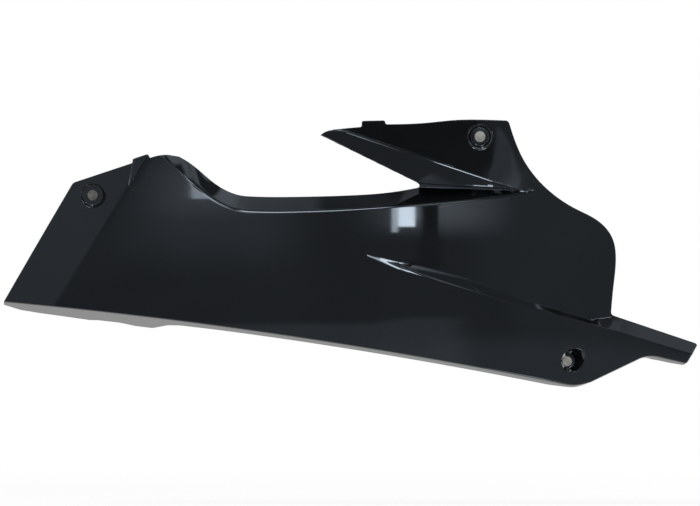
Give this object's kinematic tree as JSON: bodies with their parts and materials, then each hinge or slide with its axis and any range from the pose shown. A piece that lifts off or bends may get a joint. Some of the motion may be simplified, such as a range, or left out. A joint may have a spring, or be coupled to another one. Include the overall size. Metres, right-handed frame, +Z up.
{
  "type": "motorcycle belly pan",
  "caption": "Gloss black moulded side panel of a belly pan: swept fin over a long notch, stepped ledge, pointed nose, returned bottom flange and recessed bolt holes.",
  "frame": {"origin": "centre of the upper bolt hole, on the recessed seat that its bolt head bears on", "axes": "+X forward along the bike towards the nose, +Z up, -Y out of the bike's side, the way the gloss face looks"},
  "size_m": [0.6974, 0.068, 0.2684],
  "materials": {
    "gloss_shell": "gloss black moulded plastic, polished outside and satin inside"
  },
  "bodies": {
    "root": {"belly_pan": "gloss_shell"}
  },
  "joints": []
}
